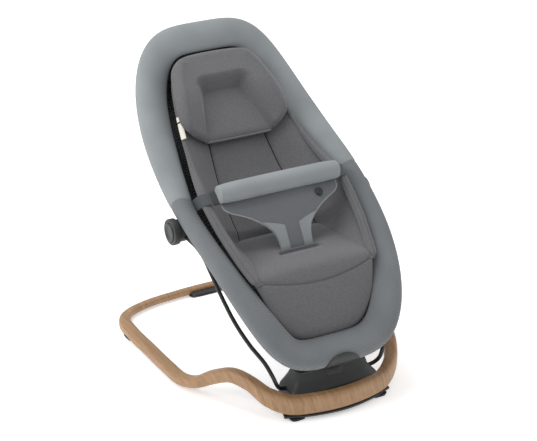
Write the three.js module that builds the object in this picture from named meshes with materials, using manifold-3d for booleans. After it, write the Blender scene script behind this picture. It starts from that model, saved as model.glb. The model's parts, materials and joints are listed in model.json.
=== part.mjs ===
// Baby bouncer: an egg-shaped padded seat that hangs on one bent spring rod over a bent wooden floor loop.
// Millimetres, +Z up, foot end towards -Y, head end towards +Y.
// The origin is on the floor, under the middle of the whole bouncer.
import * as THREE from "three";
import Module from "manifold-3d";
import { mergeVertices } from "three/addons/utils/BufferGeometryUtils.js";

// ---------- driving dimensions ----------
const BASE_HALF_WIDTH = 240; // centre plane to the outer face of a side rail
const CENTRING = 2.6; // shift along Y that puts the origin under the middle of the whole bouncer
const GAP = 0.3; // clearance between neighbouring pieces
// Half widths and half heights of the rail: across the front, over the humps, along the sides and at
// the back.
const RAIL = {
  front: { half: 13, high: 19 },
  hump: { half: 13.5, high: 13 },
  side: { half: 13.5, high: 10.5 },
  rear: { half: 9, high: 7 },
};
const RAIL_UNDER = 3; // height of the rail's underside over the floor
const RAIL_JOINT_Y = 90; // where the front and rear rails butt together
const FRONT_Y = -291; // centre line of the front rail
const REAR_Y = 283; // centre line of the rear rail
const SIDE_X = BASE_HALF_WIDTH - RAIL.side.half; // centre line of a side rail
const PIVOT = { y: -234, z: 47 }; // axis on which the spring rod swings
const ROD_RADIUS = 4;
const SEAT = { y: -272, z: 115, tilt: THREE.MathUtils.degToRad(40.8), length: 728, halfWidth: 186 };
const RIM = { lift: 360, sidePower: 4.32, endPower: 1.65 };
const SEAM_SHARE = 0.51; // share of the seat's length where the dark sleeve ends and the light one starts
const HUB = { s: 326, n: -26, radius: 26, face: 219, inner: 205.5 };
const BUTTON = { radius: 19, thick: 8, proud: 2.5 };

const wasm = await Module();
wasm.setup();

// ---------- materials ----------
function finish(color, roughness, metalness = 0) {
  return new THREE.MeshStandardMaterial({ color, roughness, metalness });
}
const WOOD = finish(0xa8896c, 0.5);
const DARK_PLASTIC = finish(0x3a3a3c, 0.55);
const STEEL = finish(0x9a9da0, 0.35, 1);
const BLACK_STEEL = finish(0x1d1e20, 0.4, 0.6);
const RUBBER = finish(0x2a2a2b, 0.9);
const LIGHT_FABRIC = finish(0x9c9fa1, 0.85);
const DARK_FABRIC = finish(0x75787b, 0.88);
const PAD_FABRIC = finish(0x6d6d6f, 0.92);
const AIR_MESH = finish(0x1e1e20, 0.9);
const WEBBING = finish(0x5e6163, 0.9);
const LABEL = finish(0xd9d6cc, 0.8);

const bouncer = new THREE.Group();
// Everything on the seat is laid out in the seat's own frame: x across, y along its length (s, from the
// foot end to the head end) and z along its normal (n).
const seat = new THREE.Group();
seat.position.set(0, SEAT.y, SEAT.z);
seat.rotation.x = SEAT.tilt;
bouncer.add(seat);

function piece(name, geometry, material, parent = bouncer) {
  const mesh = new THREE.Mesh(geometry, material);
  mesh.name = name;
  parent.add(mesh);
  return mesh;
}

// ---------- shape helpers ----------
// A closed surface from a triangle list, turned so that its faces point out.
function surface(points, triangles) {
  const volume = triangles.reduce((sum, [a, b, c]) => {
    return sum + points[a].dot(new THREE.Vector3().crossVectors(points[b], points[c]));
  }, 0);
  const facing = volume < 0 ? triangles.map(([a, b, c]) => [a, c, b]) : triangles;
  const geometry = new THREE.BufferGeometry().setFromPoints(points);
  geometry.setIndex(facing.flat());
  return geometry;
}

// A skin over a row of outlines with the same even number of points, each {points, hole}.
// The two ends are filled from one side of the outline to the other, or from the outline to its hole.
// A closed row has no ends.
function loft(rows, closed = false) {
  const points = [];
  const triangles = [];
  const quad = (a, b, c, d) => triangles.push([a, b, c], [a, c, d]);
  const count = rows[0].points.length;
  const holeCount = rows[0].hole?.length ?? 0;
  for (const row of rows) points.push(...row.points, ...(row.hole ?? []));
  const start = (i) => (i % rows.length) * (count + holeCount);
  for (let i = 0; i < rows.length - (closed ? 0 : 1); i++) {
    const [a, b] = [start(i), start(i + 1)];
    for (let k = 0; k < count; k++) {
      const next = (k + 1) % count;
      quad(a + k, a + next, b + next, b + k);
    }
    for (let k = 0; k < holeCount; k++) {
      const next = (k + 1) % count;
      quad(a + count + k, b + count + k, b + count + next, a + count + next);
    }
  }
  if (closed) return surface(points, triangles);
  const last = start(rows.length - 1);
  for (let k = 0; k < (holeCount || count / 2 - 1); k++) {
    const next = (k + 1) % count;
    const [far, near] = holeCount ? [count + next, count + k] : [count - 2 - k, count - 1 - k];
    quad(k, near, far, next);
    quad(last + k, last + next, last + far, last + near);
  }
  return surface(points, triangles);
}

// Carries an outline along a path. side points to the path's right, rise is square to both.
function sweep(path, outlineAt, { closed = false, up = new THREE.Vector3(0, 0, 1), holeAt } = {}) {
  const last = path.length - 1;
  const rows = path.map((point, i) => {
    const before = path[closed ? (i + last) % path.length : Math.max(i - 1, 0)];
    const after = path[closed ? (i + 1) % path.length : Math.min(i + 1, last)];
    const along = after.clone().sub(before).normalize();
    const side = along.clone().cross(up).normalize();
    const rise = side.clone().cross(along);
    const place = ([a, b]) => point.clone().addScaledVector(side, a).addScaledVector(rise, b);
    return { points: outlineAt(i / last, point).map(place), hole: holeAt?.(i / last).map(place) };
  });
  return loft(rows, closed);
}

// A rounded block outline with half sizes a and b: |x/a|^power + |y/b|^power = 1.
function roundedOutline(a, b, count, power = 3) {
  return Array.from({ length: count }, (_, k) => {
    const angle = ((k + 0.5) / count) * 2 * Math.PI;
    const [c, s] = [Math.cos(angle), Math.sin(angle)];
    return [a * Math.sign(c) * Math.abs(c) ** (2 / power), b * Math.sign(s) * Math.abs(s) ** (2 / power)];
  });
}

function circleOutline(radius, count) {
  return roundedOutline(radius, radius, count, 2);
}

// A body with a level outline at each height, from rows of {z, y0, y1, half}.
function tower(levels, count = 20, power = 5) {
  return loft(levels.map(({ z, y0, y1, half }) => {
    const outline = roundedOutline(half, (y1 - y0) / 2, count, power);
    return { points: outline.map(([x, y]) => new THREE.Vector3(x, y + (y0 + y1) / 2, z)) };
  }));
}

function block(x0, x1, y0, y1, z0, z1) {
  const box = new THREE.BoxGeometry(x1 - x0, y1 - y0, z1 - z0);
  return box.translate((x0 + x1) / 2, (y0 + y1) / 2, (z0 + z1) / 2);
}

// A cylinder along X from x0 to x1 about the line (y, z).
function roundAlongX(radius, x0, x1, y, z, sides = 24) {
  const cylinder = new THREE.CylinderGeometry(radius, radius, Math.abs(x1 - x0), sides);
  return cylinder.rotateZ(Math.PI / 2).translate((x0 + x1) / 2, y, z);
}

function solid(geometry) {
  const bare = geometry.clone();
  bare.deleteAttribute("normal");
  bare.deleteAttribute("uv");
  const merged = mergeVertices(bare, 1e-3);
  return new wasm.Manifold(new wasm.Mesh({
    numProp: 3,
    vertProperties: merged.attributes.position.array,
    triVerts: new Uint32Array(merged.index.array),
  }));
}

function geometryOf(manifold) {
  const mesh = manifold.getMesh();
  const geometry = new THREE.BufferGeometry();
  geometry.setAttribute("position", new THREE.BufferAttribute(mesh.vertProperties, 3));
  geometry.setIndex(new THREE.BufferAttribute(mesh.triVerts, 1));
  return geometry;
}

function cut(geometry, ...tools) {
  return geometryOf(tools.reduce((body, tool) => body.subtract(solid(tool)), solid(geometry)));
}

function join(geometry, ...others) {
  return geometryOf(others.reduce((body, other) => body.add(solid(other)), solid(geometry)));
}

function curveThrough(points, spacing, closed = false) {
  const curve = new THREE.CatmullRomCurve3(points.map((p) => new THREE.Vector3(...p)), closed, "centripetal");
  return curve.getSpacedPoints(Math.round(curve.getLength() / spacing));
}

// ---------- base: the bent wooden loop ----------
// One half of the loop's centre line, from the middle of the front to the middle of the back.
const SIDE_Z = RAIL_UNDER + RAIL.side.high;
const REAR_Z = RAIL_UNDER + RAIL.rear.high;
const RAIL_HALF = [
  [0, FRONT_Y, 30], [60, FRONT_Y + 7, 30], [104, FRONT_Y + 22, 31], [136, -245, 44], [156, -213, 62],
  [174, -173, 66], [193, -133, 48], [213, -99, 26], [SIDE_X - 2, -62, 16], [SIDE_X, 0, SIDE_Z],
  [SIDE_X, RAIL_JOINT_Y, SIDE_Z], [SIDE_X, 160, SIDE_Z], [219, 216, SIDE_Z - 1], [194, 250, SIDE_Z - 3],
  [144, 270, REAR_Z + 0.5], [70, REAR_Y - 3, REAR_Z], [0, REAR_Y, REAR_Z],
];
const mirrored = ([x, y, z]) => [-x, y, z];

// Tall where the rail crosses the front, lower over the humps, flat along the floor and slimmest at the back.
function railSize(point) {
  const { lerp, smoothstep } = THREE.MathUtils;
  const front = smoothstep(-point.y, 215, 262);
  const hump = smoothstep(point.z, 16, 50);
  const rear = smoothstep(point.y, 190, 272);
  const blend = (key) => {
    const low = lerp(RAIL.side[key], RAIL.rear[key], rear);
    return lerp(lerp(low, RAIL.hump[key], hump), RAIL.front[key], front);
  };
  return [blend("half"), blend("high")];
}
function railOutline(t, point) {
  return roundedOutline(...railSize(point), 12, 3);
}

function rail(fromJoint, spacing) {
  const half = RAIL_HALF.filter((p) => (fromJoint ? p[1] <= RAIL_JOINT_Y : p[1] >= RAIL_JOINT_Y));
  const path = fromJoint
    ? [...half.slice(1).reverse().map(mirrored), ...half]
    : [...half, ...half.slice(0, -1).reverse().map(mirrored)];
  const ends = path.map(([x, y, z]) => [x, y === RAIL_JOINT_Y ? y + (fromJoint ? -GAP : GAP) / 2 : y, z]);
  return sweep(curveThrough(ends, spacing), railOutline);
}

const TONGUE = { half: 5, high: 3, long: 32 };
function tongue(x, gap) {
  const [a, b, c] = [TONGUE.half + gap, TONGUE.long + gap, TONGUE.high + gap];
  return block(x - a, x + a, RAIL_JOINT_Y - b, RAIL_JOINT_Y + b, SIDE_Z - c, SIDE_Z + c);
}
const sockets = [tongue(-SIDE_X, GAP), tongue(SIDE_X, GAP)];
piece("front_rail", cut(rail(true, 19), ...sockets), WOOD);
piece("rear_rail", cut(rail(false, 21), ...sockets), WOOD);
for (const [side, name] of [[-1, "left"], [1, "right"]]) {
  piece("rail_tongue_" + name, tongue(side * SIDE_X, 0), STEEL);
}

// ---------- base: feet ----------
const SOLE = { top: 10.6, bottom: 5.5, half: 11 };
const SOLE_LINE = [[-112, 26], [-60, 8], [0, 1], [60, 8], [112, 26]].map(([x, back]) => {
  return [x, FRONT_Y + back, SOLE.bottom];
});
piece("front_sole", sweep(curveThrough(SOLE_LINE, 15), () => {
  const high = SOLE.top - SOLE.bottom;
  return [[-SOLE.half, 0], [SOLE.half, 0], [SOLE.half, high], [-SOLE.half, high]];
}), DARK_PLASTIC);
for (const [side, name] of [[-1, "left"], [1, "right"]]) {
  const foot = tower([
    { z: 0, y0: -12, y1: 12, half: 13 },
    { z: 5.2, y0: -14, y1: 14, half: 17 },
  ], 16, 3).translate(side * 90, FRONT_Y + 19, 0);
  piece("front_foot_" + name, foot, RUBBER);
  const heel = tower([
    { z: 0, y0: -14, y1: 14, half: 11 },
    { z: 2.7, y0: -17, y1: 17, half: 13 },
  ], 16, 3).translate(side * (SIDE_X - 1), 170, 0);
  piece("rear_foot_" + name, heel, RUBBER);
}
// The pad under the middle of the rear rail, with a lip that grips the rail's inner side.
const rearSole = tower([
  { z: 0, y0: -19, y1: 9, half: 38 },
  { z: 2.7, y0: -20, y1: 10, half: 40 },
], 16, 4);
const rearLip = block(-36, 36, -18, -RAIL.rear.half - 2, 1, 10);
piece("rear_pad", join(rearSole, rearLip).translate(0, REAR_Y, 0), DARK_PLASTIC);

// ---------- base: pedestal ----------
const PEDESTAL_LEVELS = [
  { z: 11.3, y0: -276, y1: -200, half: 98 },
  { z: 46, y0: -276, y1: -200, half: 95 },
  { z: 55, y0: -267, y1: -203, half: 86 },
  { z: 63, y0: -261, y1: -206, half: 80 },
  { z: 82, y0: -253, y1: -216, half: 75 },
];
const WALL = 3;
const pedestalInside = PEDESTAL_LEVELS.map(({ z, y0, y1, half }, i) => ({
  z: i === 0 ? z - 1 : z - (i === PEDESTAL_LEVELS.length - 1 ? WALL : 0),
  y0: y0 + WALL, y1: y1 - WALL, half: half - WALL,
}));
// The press plate of the fold latch, a tapering tile square to the sloping neck.
const LATCH = { y: -256, z: 70, lean: THREE.MathUtils.degToRad(23), top: 21, bottom: 16, high: 9, thick: 5 };
function latchTile(grow, thick) {
  const [low, wide, high] = [LATCH.bottom, LATCH.top, LATCH.high].map((size) => size + grow);
  const corners = [[-low, -high], [low, -high], [wide, high], [-wide, high]];
  const shape = new THREE.Shape(corners.map(([x, y]) => new THREE.Vector2(x, y)));
  const tile = new THREE.ExtrudeGeometry(shape, { depth: thick, bevelEnabled: false });
  return tile.translate(0, 0, -thick / 2).rotateX(Math.PI / 2 - LATCH.lean).translate(0, LATCH.y, LATCH.z);
}
const RAIL_CLEARANCE = 1.2;
const nearRail = RAIL_HALF.slice(0, 5);
const railRelief = sweep(
  curveThrough([...nearRail.slice(1).reverse().map(mirrored), ...nearRail], 19),
  (t, point) => railOutline(t, point).map((pair) => pair.map((c) => c + Math.sign(c) * RAIL_CLEARANCE)),
);
piece("pedestal_shell", cut(
  tower(PEDESTAL_LEVELS), tower(pedestalInside), latchTile(0.6, 14), railRelief,
  roundAlongX(ROD_RADIUS + 5, -130, 130, PIVOT.y, PIVOT.z, 16),
), DARK_PLASTIC);
piece("fold_latch", latchTile(0, LATCH.thick), DARK_PLASTIC);

const CARRIER = { radius: 12, bore: ROD_RADIUS + 1, half: 74 };
const saddle = (x) => block(x - 8, x + 8, -252, -216, 10, PIVOT.z - 0.4);
const seatForCarrier = roundAlongX(CARRIER.radius + 0.5, -120, 120, PIVOT.y, PIVOT.z, 24);
piece("pedestal_base", cut(
  join(block(-92, 92, -260, -204, 6.5, 10.8), saddle(-62), saddle(62)), seatForCarrier,
), DARK_PLASTIC);
for (const [side, name] of [[-1, "left"], [1, "right"]]) {
  const cap = block(side * 62 - 8, side * 62 + 8, -250, -218, PIVOT.z, PIVOT.z + 17);
  piece("bearing_cap_" + name, cut(cap, seatForCarrier), DARK_PLASTIC);
}
const carrier = new THREE.Shape(circleOutline(CARRIER.radius, 20).map(([a, b]) => new THREE.Vector2(a, b)));
carrier.holes.push(new THREE.Path(circleOutline(CARRIER.bore, 12).map(([a, b]) => new THREE.Vector2(a, b))));
piece("rod_carrier", new THREE.ExtrudeGeometry(carrier, { depth: 2 * CARRIER.half, bevelEnabled: false })
  .translate(0, 0, -CARRIER.half).rotateY(Math.PI / 2).translate(0, PIVOT.y, PIVOT.z), STEEL);
piece("latch_spring", sweep(
  curveThrough([[0, -252.8, 68.6], [0, -244, 64.9]], 5),
  () => circleOutline(4, 10), { up: new THREE.Vector3(1, 0, 0), holeAt: () => circleOutline(2.6, 10) },
), STEEL);

// ---------- seat frame functions, all in the seat's own frame ----------
const rimLift = (u) => RIM.lift * u * (1 - u) * (1 - 2 * u);
const signedPower = (value, power) => Math.sign(value) * Math.abs(value) ** power;

// The centre line of the rim: a rounded egg outline that rises over the thighs and dips behind the shoulders.
function rimPath(inset, count) {
  const dense = Array.from({ length: 360 }, (_, k) => {
    const angle = (k / 360) * 2 * Math.PI;
    const across = signedPower(Math.sin(angle), 2 / RIM.sidePower) * (SEAT.halfWidth - inset);
    const share = (1 - signedPower(Math.cos(angle), 2 / RIM.endPower)) / 2;
    const s = inset + share * (SEAT.length - 2 * inset);
    return new THREE.Vector3(across, s, rimLift(s / SEAT.length));
  });
  const curve = new THREE.CatmullRomCurve3(dense, true);
  return curve.getSpacedPoints(count).slice(0, -1);
}

function halfWidthAt(s, inset) {
  const share = THREE.MathUtils.clamp((s - inset) / (SEAT.length - 2 * inset), 0, 1);
  return (SEAT.halfWidth - inset) * (1 - Math.abs(2 * share - 1) ** RIM.endPower) ** (1 / RIM.sidePower);
}

// A function of s on a smooth line through [s, value] knots, level beyond its ends.
function lineThrough(knots) {
  const points = new THREE.SplineCurve(knots.map(([s, value]) => new THREE.Vector2(s, value))).getPoints(200);
  return (s) => {
    const after = points.findIndex((p) => p.x >= s);
    if (after <= 0) return after === 0 ? points[0].y : points.at(-1).y;
    const [a, b] = [points[after - 1], points[after]];
    return THREE.MathUtils.mapLinear(s, a.x, b.x, a.y, b.y);
  };
}

// ---------- seat: rim tube and its two padded sleeves ----------
// How far the padded band reaches into the seat from the rim's line: least beside the hips.
const bandWidth = lineThrough([
  [60, 46], [110, 41], [160, 34], [220, 28], [300, 24], [340, 25],
  [380, 29], [420, 34], [460, 39], [500, 42], [560, 45], [620, 46],
]);

// A padded band: round over the tube, thinning to an edge that points into the seat.
function bandOutline(radius, width) {
  const nose = [-100, -60, -20, 20, 60, 100].map((deg) => {
    const angle = THREE.MathUtils.degToRad(deg);
    return [radius * Math.cos(angle), radius * Math.sin(angle)];
  });
  const shoulder = 0.52 * width;
  return [...nose, [-shoulder, 13], [-width, 0], [-width, -7], [-shoulder, -13]];
}

const RING = rimPath(0, 96);
const TUBE_RADIUS = 11;
function tubeOutline(radius) {
  return bandOutline(20, 46).map(([a, b]) => [a, b].map((c) => (c * radius) / Math.hypot(a, b)));
}
piece("rim_tube", sweep(RING, () => tubeOutline(TUBE_RADIUS), { closed: true }), STEEL, seat);

function sleeve(fromHead, radius) {
  const seam = SEAM_SHARE * SEAT.length;
  const start = RING.findIndex((p, i) => p.x > 0 && p.y > seam && RING[i - 1]?.y <= seam);
  const end = RING.findIndex((p, i) => p.x < 0 && p.y <= seam && RING[i - 1]?.y > seam);
  const path = fromHead ? RING.slice(start, end) : [...RING.slice(end), ...RING.slice(0, start)];
  const outline = (t, point) => bandOutline(radius, bandWidth(point.y));
  return sweep(path, outline, { holeAt: () => tubeOutline(TUBE_RADIUS + 1) });
}
piece("upper_sleeve", sleeve(true, 20.6), LIGHT_FABRIC, seat);
piece("lower_sleeve", sleeve(false, 20), DARK_FABRIC, seat);

// ---------- seat: mesh sling and pads, as skins across the seat ----------
// Height of the pad's face along the centre line: leg slope, knee crest, level seat, crease, back.
const padLine = lineThrough([
  [44, 6], [100, 40], [150, 54], [216, 20], [273, -26],
  [340, -41], [430, -43], [520, -36], [610, -36], [682, -40],
]);
// Height of the liner's upper edge beside the back.
const edgeLine = lineThrough([
  [282, 34], [340, 26], [400, 9], [440, -2], [480, -9], [520, -12], [600, -16], [664, -20],
]);

// A slab across the seat from s0 to s1: half(s) is its half width, top(s, v) and bottom(s, v) are its faces,
// and v runs from -1 to 1 across it.
function slab(s0, s1, steps, half, top, bottom, across = 8) {
  const rows = Array.from({ length: steps + 1 }, (_, i) => {
    const s = s0 + ((s1 - s0) * i) / steps;
    const w = half(s);
    const shares = Array.from({ length: across + 1 }, (_, k) => (2 * k) / across - 1);
    const over = shares.map((v) => [v * w, top(s, v)]);
    const under = shares.map((v) => [v * w, bottom(s, v)]);
    const outline = [...over, ...under.reverse()];
    return { points: outline.map(([x, n]) => new THREE.Vector3(x, s, n)) };
  });
  return loft(rows);
}

const SLING = { low: 53, high: 675, clear: 3, under: 30, thick: 3, rimDrop: 4 };
const slingHalf = (s) => halfWidthAt(s, bandWidth(s) + SLING.clear);
function slingTop(s, v) {
  const floor = padLine(s) - SLING.under;
  const edge = rimLift(s / SEAT.length) - SLING.rimDrop;
  return floor + (edge - floor) * Math.abs(v) ** 5;
}
const slingUnder = (s, v) => slingTop(s, v) - SLING.thick;
piece("sling", slab(SLING.low, SLING.high, 22, slingHalf, slingTop, slingUnder, 16), AIR_MESH, seat);

// The underside of a pad: a little over the sling, a little more where the sling closes at its ends.
function onSling(s, x) {
  const lift = 6 + Math.max(0, s - 620) * 0.32 + Math.max(0, 90 - s) * 0.25;
  return slingTop(s, x / slingHalf(s)) + lift;
}
const PAD_THICK = 8; // least thickness of a pad
const backHalf = (s) => slingHalf(s) - 6 - Math.max(0, s - 440) * 0.05;
function backTop(s, x) {
  const curled = padLine(s) + (edgeLine(s) - padLine(s)) * (x / backHalf(s)) ** 4;
  return Math.max(curled, onSling(s, x) + PAD_THICK);
}
piece("back_pad", slab(
  282, 664, 14, backHalf, (s, v) => backTop(s, v * backHalf(s)), (s, v) => onSling(s, v * backHalf(s)),
), PAD_FABRIC, seat);
const seatHalf = (s) => Math.min(slingHalf(s) - 11, 128);
piece("seat_pad", slab(
  62, 276, 10, seatHalf,
  (s, v) => Math.max(padLine(s) - 8 * v ** 4, onSling(s, v * seatHalf(s)) + PAD_THICK),
  (s, v) => onSling(s, v * seatHalf(s)),
), PAD_FABRIC, seat);
for (const [side, name] of [[-1, "left"], [1, "right"]]) {
  const wing = loft([178, 205, 232, 259, 279].map((s) => {
    const outer = slingHalf(s) - 6;
    const foot = slingTop(s, (outer + 3) / slingHalf(s)) + 7;
    const top = rimLift(s / SEAT.length) + 14;
    const outline = [[outer - 3, foot], [outer + 1, foot + 2], [outer + 3, top], [outer - 4, top]];
    return { points: outline.map(([x, n]) => new THREE.Vector3(side * x, s, n)) };
  }));
  piece("side_wing_" + name, wing, PAD_FABRIC, seat);
}

// The head pillow widens in a quarter wave from its lower edge, and its upper corners follow the sling.
const PILLOW = { low: 492, high: 672, lowHalf: 72, widening: 47, over: 45, clear: 7, edge: 14, crown: 18 };
function pillowHalf(s) {
  const wave = Math.sin(Math.min(1, (s - PILLOW.low) / PILLOW.over) * Math.PI / 2);
  return Math.min(PILLOW.lowHalf + PILLOW.widening * wave, slingHalf(s) - 3);
}
piece("headrest", slab(
  PILLOW.low, PILLOW.high, 10, pillowHalf,
  (s, v) => backTop(s, v * pillowHalf(s)) + PILLOW.edge + PILLOW.crown * (1 - v ** 4),
  (s, v) => backTop(s, v * pillowHalf(s)) + PILLOW.clear,
), PAD_FABRIC, seat);

// ---------- seat: restraint ----------
const ROLL = { s: 348, n: 50, radius: 19, half: 128 };
piece("tummy_roll", roundAlongX(ROLL.radius, -ROLL.half, ROLL.half, ROLL.s, ROLL.n, 16), LIGHT_FABRIC, seat);
// The panel hangs from the roll and narrows to the strap between the legs.
// Each row is its place along the seat, its height and its half width.
const PANEL = [[329, 46, 124], [312, 44, 116], [296, 41, 86], [276, 37, 55], [254, 32, 34], [238, 27, 27]];
const CROTCH_STRAP = [[237, 26.5, 33], [226, 25.5, 33], [216, 24.6, 33]];
const PANEL_THICK = 4;
const panelRow = ([s, n, half]) => {
  const outline = [[-half, n], [half, n], [half, n - PANEL_THICK], [-half, n - PANEL_THICK]];
  return { points: outline.map(([x, z]) => new THREE.Vector3(x, s, z)) };
};
piece("restraint_panel", loft(PANEL.map(panelRow)), DARK_FABRIC, seat);
piece("crotch_strap", loft(CROTCH_STRAP.map(panelRow)), LIGHT_FABRIC, seat);
piece("panel_stud", new THREE.CylinderGeometry(8.5, 8.5, 3, 20).rotateX(Math.PI / 2)
  .translate(78, 312, 47.2), DARK_PLASTIC, seat);
const STRAP = { half: 12.5, thick: 2 };
for (const [side, name] of [[-1, "left"], [1, "right"]]) {
  const [x0, x1] = [ROLL.half + 0.5, ROLL.half + 9].map((x) => side * x);
  const buckle = block(Math.min(x0, x1), Math.max(x0, x1), ROLL.s - 16, ROLL.s + 16, 28, 36);
  piece("buckle_" + name, buckle, DARK_PLASTIC, seat);
  const strap = loft([[9.5, 34], [15, 36], [22, 33.5], [30, 35.5]].map(([out, n]) => {
    const [low, high] = [ROLL.s - STRAP.half, ROLL.s + STRAP.half];
    const outline = [[low, n], [high, n], [high, n - STRAP.thick], [low, n - STRAP.thick]];
    return { points: outline.map(([s, z]) => new THREE.Vector3(side * (ROLL.half + out), s, z)) };
  }));
  piece("side_strap_" + name, strap, WEBBING, seat);
}
piece("care_label", block(-143, -126, 470, 500, -3, -2.2), LABEL, seat);

// ---------- seat: front badge and the bracket under the front ----------
const BADGE = { half: 38, radius: 21.6, thick: 2 };
const badgeArc = (radius) => [-50, -20, 10, 40, 70].map((deg) => {
  const angle = THREE.MathUtils.degToRad(deg);
  return [radius * Math.cos(angle), radius * Math.sin(angle)];
});
piece("front_badge", sweep(
  curveThrough([[-BADGE.half, 0.3, 0.2], [0, 0, 0], [BADGE.half, 0.3, 0.2]], 10),
  () => [...badgeArc(BADGE.radius), ...badgeArc(BADGE.radius + BADGE.thick).reverse()],
), DARK_PLASTIC, seat);
piece("front_bracket", loft([-74, 74].map((x) => {
  const outline = [[-253, 91], [-222, 87], [-206, 104], [-208, 124], [-228, 124]];
  return { points: outline.map(([y, z]) => new THREE.Vector3(x, y, z)) };
})), DARK_PLASTIC);

// ---------- hubs: the recline joint on each side ----------
const tilt = (s, n) => ({
  y: SEAT.y + s * Math.cos(SEAT.tilt) - n * Math.sin(SEAT.tilt),
  z: SEAT.z + s * Math.sin(SEAT.tilt) + n * Math.cos(SEAT.tilt),
});
const axis = tilt(HUB.s, HUB.n);
const AXLE_RADIUS = 8;
const EYE = { radius: 13, bore: AXLE_RADIUS + 0.5, x0: 186, x1: 202 };
const ROD_END = { x: 194, y: axis.y - 18, z: axis.z - 7 };
// A point on the straight end of the rod, a distance back from its end.
const backFromEnd = (d) => [ROD_END.x - 0.19 * d, ROD_END.y - 0.94 * d, ROD_END.z - 0.29 * d];
for (const [side, name] of [[-1, "left"], [1, "right"]]) {
  const along = (radius, x0, x1, sides) => roundAlongX(radius, side * x0, side * x1, axis.y, axis.z, sides);
  piece("hub_case_" + name, cut(
    along(HUB.radius, HUB.inner, HUB.face, 28),
    along(BUTTON.radius + 0.6, HUB.face - 8, HUB.face + 5, 28), along(6.6, HUB.inner + 3, HUB.face, 16),
  ), DARK_PLASTIC);
  piece("hub_button_" + name, cut(
    along(BUTTON.radius, HUB.face - BUTTON.thick + BUTTON.proud, HUB.face + BUTTON.proud, 28),
    along(6.6, HUB.face - 8, HUB.face - 1.5, 16),
  ), DARK_PLASTIC);
  piece("button_spring_" + name, cut(
    along(5.6, HUB.inner + 5.5, HUB.face - 5, 12), along(4, HUB.inner, HUB.face, 12),
  ), STEEL);
  piece("hub_axle_" + name, along(AXLE_RADIUS, 176.4, HUB.inner - GAP, 20), STEEL);
  const shank = sweep(
    curveThrough([-8, 20].map((d) => backFromEnd(d)).map(([x, y, z]) => [side * x, y, z]), 9),
    () => circleOutline(7.5, 12),
  );
  const rodWay = sweep(
    curveThrough([-1, 30].map((d) => backFromEnd(d)).map(([x, y, z]) => [side * x, y, z]), 9),
    () => circleOutline(ROD_RADIUS + 0.7, 12),
  );
  piece("rod_eye_" + name, cut(
    join(along(EYE.radius, EYE.x0, EYE.x1, 24), shank), along(EYE.bore, EYE.x0 - 9, EYE.x1 + 9, 24), rodWay,
  ), DARK_PLASTIC);
  const bracket = block(-13, 13, HUB.s - 27, HUB.s + 27, HUB.n - 12, HUB.n + 3).translate(side * 163, 0, 0);
  piece("seat_bracket_" + name, bracket, DARK_PLASTIC, seat);
}

// ---------- spring rod: one bar from hub to hub through the carrier ----------
const ROD_SIDE = [
  [45, PIVOT.y, PIVOT.z], [60, PIVOT.y, PIVOT.z], [80, PIVOT.y, PIVOT.z], [98, PIVOT.y, PIVOT.z],
  [107, PIVOT.y - 2, PIVOT.z + 4], [115, PIVOT.y - 6, PIVOT.z + 15], [123, -237, 82],
  [131, -222, 104], [145, -190, 131], [157, -156, 164], [167, -125, 204], [176, -98, 246], [182, -76, 276],
  backFromEnd(30), backFromEnd(15), backFromEnd(0),
];
piece("spring_rod", sweep(
  curveThrough([...ROD_SIDE.map(mirrored).reverse(), ...ROD_SIDE], 14),
  () => circleOutline(ROD_RADIUS, 8),
), BLACK_STEEL);

bouncer.position.y = CENTRING;
export default bouncer;
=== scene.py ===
"""A baby bouncer: an oval padded seat on one bent spring rod over a bent wooden floor loop.

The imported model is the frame. Every visible piece is laid over it in metres: hard pieces as profiles
carried along paths or turned about an axis, soft pieces as height fields over the seat, in the seat's own
directions. x runs across, s runs from the foot end to the head end along the seat, and n stands square to
the seat.
"""
import json
import math

import bpy
import numpy as np
from bpy.props import FloatProperty, FloatVectorProperty, PointerProperty
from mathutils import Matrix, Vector


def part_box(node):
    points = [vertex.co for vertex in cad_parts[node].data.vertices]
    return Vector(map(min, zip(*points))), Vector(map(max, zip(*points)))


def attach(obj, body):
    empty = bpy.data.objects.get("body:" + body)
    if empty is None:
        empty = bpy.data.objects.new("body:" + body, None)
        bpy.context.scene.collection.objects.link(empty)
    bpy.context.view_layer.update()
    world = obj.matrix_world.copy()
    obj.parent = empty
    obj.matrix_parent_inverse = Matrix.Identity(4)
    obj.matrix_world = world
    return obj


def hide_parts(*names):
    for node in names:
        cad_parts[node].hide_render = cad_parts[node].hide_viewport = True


bl_info = {
    "name": "Baby bouncer",
    "version": (1, 0, 0),
    "blender": (4, 5, 0),
    "location": "View3D > Sidebar > Bouncer",
    "description": "Builds the visible pieces of a baby bouncer over its packed frame",
    "category": "Object",
}

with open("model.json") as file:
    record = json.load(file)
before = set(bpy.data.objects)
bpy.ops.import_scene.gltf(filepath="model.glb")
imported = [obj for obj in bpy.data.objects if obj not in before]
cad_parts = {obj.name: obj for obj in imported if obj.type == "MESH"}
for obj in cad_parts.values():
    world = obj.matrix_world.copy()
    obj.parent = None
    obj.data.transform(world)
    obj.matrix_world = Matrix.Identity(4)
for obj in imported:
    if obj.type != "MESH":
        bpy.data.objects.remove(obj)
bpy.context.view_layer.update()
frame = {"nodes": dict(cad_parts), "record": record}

# ---------- where things are, worked out from the frame ----------
MM = 0.001


def middle(node):
    """The middle of a frame node's box."""
    low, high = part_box(node)
    return np.array((low + high) / 2)


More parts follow.
